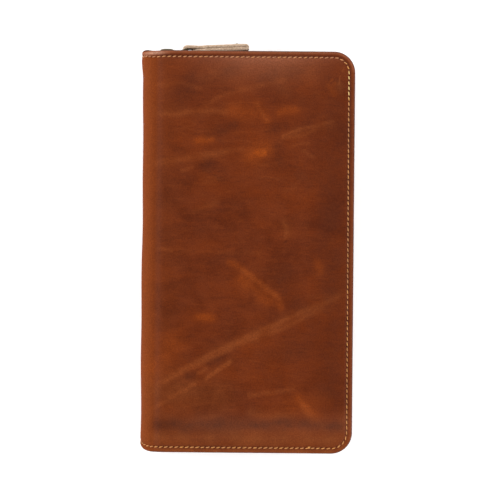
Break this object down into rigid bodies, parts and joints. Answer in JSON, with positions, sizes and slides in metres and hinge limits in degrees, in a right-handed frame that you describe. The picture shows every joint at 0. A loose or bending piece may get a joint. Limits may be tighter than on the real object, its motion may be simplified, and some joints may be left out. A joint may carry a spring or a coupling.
{
  "type": "zip around wallet",
  "caption": "Long leather wallet that zips round three sides: two stiff covers on a round spine, card pockets, note spaces and a zipped coin pocket.",
  "frame": {"origin": "middle of the back cover's outer face, which the shut wallet lies on", "axes": "+X from the spine to the open long side, +Y along the spine towards the end where the main slider is parked, +Z from the back cover up to the front cover"},
  "size_m": [0.106, 0.2039, 0.026],
  "materials": {
    "cover_leather": "waxed pull-up leather, tan under a reddish-brown surface, soft sheen",
    "inner_leather": "thin smooth calf, brown",
    "lining_cloth": "woven dark brown lining",
    "stiffener_board": "pressed paper board",
    "tape_cloth": "woven dark brown zip tape",
    "thread": "waxed golden thread",
    "zip_brass": "antique brass",
    "slider_metal": "dark antique brass",
    "pull_leather": "brown strap leather with pale raw edges"
  },
  "bodies": {
    "back_cover": {"back_card_panel": "inner_leather", "back_card_pocket_1": "inner_leather", "back_card_pocket_2": "inner_leather", "back_card_pocket_3": "inner_leather", "back_card_pocket_4": "inner_leather", "back_cover_board": "stiffener_board", "back_cover_leather": "cover_leather", "back_cover_lining": "lining_cloth", "back_cover_stitching": "thread", "back_edge_facing": "cover_leather", "back_top_stop": "zip_brass", "back_zip_tape": "tape_cloth", "back_zip_teeth": "zip_brass", "gusset_bottom_back": "inner_leather", "gusset_top_back": "inner_leather", "spine_leather": "cover_leather", "spine_lining": "lining_cloth", "zip_bottom_stop": "zip_brass"},
    "front_cover": {"front_card_panel": "inner_leather", "front_card_pocket_1": "inner_leather", "front_card_pocket_2": "inner_leather", "front_card_pocket_3": "inner_leather", "front_card_pocket_4": "inner_leather", "front_cover_board": "stiffener_board", "front_cover_leather": "cover_leather", "front_cover_lining": "lining_cloth", "front_cover_stitching": "thread", "front_edge_facing": "cover_leather", "front_top_stop": "zip_brass", "front_zip_tape": "tape_cloth", "front_zip_teeth": "zip_brass", "gusset_top_front": "inner_leather", "gusset_bottom_front": "inner_leather"},
    "divider": {"coin_bottom_stop": "zip_brass", "coin_pocket_back_wall": "inner_leather", "coin_pocket_front_wall": "inner_leather", "coin_tape_back": "tape_cloth", "coin_tape_front": "tape_cloth", "coin_teeth_back": "zip_brass", "coin_teeth_front": "zip_brass", "coin_top_stop_back": "zip_brass", "coin_top_stop_front": "zip_brass"},
    "zip_slider": {"slider_body": "slider_metal", "slider_bail": "slider_metal"},
    "pull_link": {"pull_link": "slider_metal"},
    "pull_strap": {"pull_strap": "pull_leather", "pull_rivet": "slider_metal"},
    "coin_slider": {"coin_slider_body": "slider_metal", "coin_slider_bail": "slider_metal"},
    "coin_pull": {"coin_pull_tab": "slider_metal"}
  },
  "joints": [
    {"name": "cover_hinge", "type": "hinge", "parent": "back_cover", "child": "front_cover", "pos_m": [-0.053, 0, 0.013], "axis": [0, -1, 0], "range_deg": [0, 60], "deforming": ["spine_leather", "spine_lining", "gusset_top_front", "gusset_bottom_front"]},
    {"name": "divider_hinge", "type": "hinge", "parent": "back_cover", "child": "divider", "pos_m": [-0.053, 0, 0.013], "axis": [0, -1, 0], "range_deg": [0, 30], "deforming": ["gusset_top_back", "gusset_bottom_back"]},
    {"name": "zip_slide", "type": "slide", "parent": "back_cover", "child": "zip_slider", "axis": [1, 0, 0], "range_m": [0, 0.076]},
    {"name": "pull_link_hinge", "type": "hinge", "parent": "zip_slider", "child": "pull_link", "pos_m": [-0.041, 0.10025, 0.013], "axis": [0, 0, 1], "range_deg": [0, 102]},
    {"name": "pull_strap_hinge", "type": "hinge", "parent": "pull_link", "child": "pull_strap", "pos_m": [-0.03104, 0.10112, 0.013], "axis": [0, 0, 1], "range_deg": [-3, 60]},
    {"name": "coin_zip_slide", "type": "slide", "parent": "divider", "child": "coin_slider", "axis": [0, -1, 0], "range_m": [0, 0.155]},
    {"name": "coin_pull_hinge", "type": "hinge", "parent": "coin_slider", "child": "coin_pull", "pos_m": [0.0342, 0.078, 0.013], "axis": [0, 0, 1], "range_deg": [0, 90]}
  ],
  "couplings": [
    {"joint": "divider_hinge", "follows": "cover_hinge", "ratio": 0.5}
  ]
}
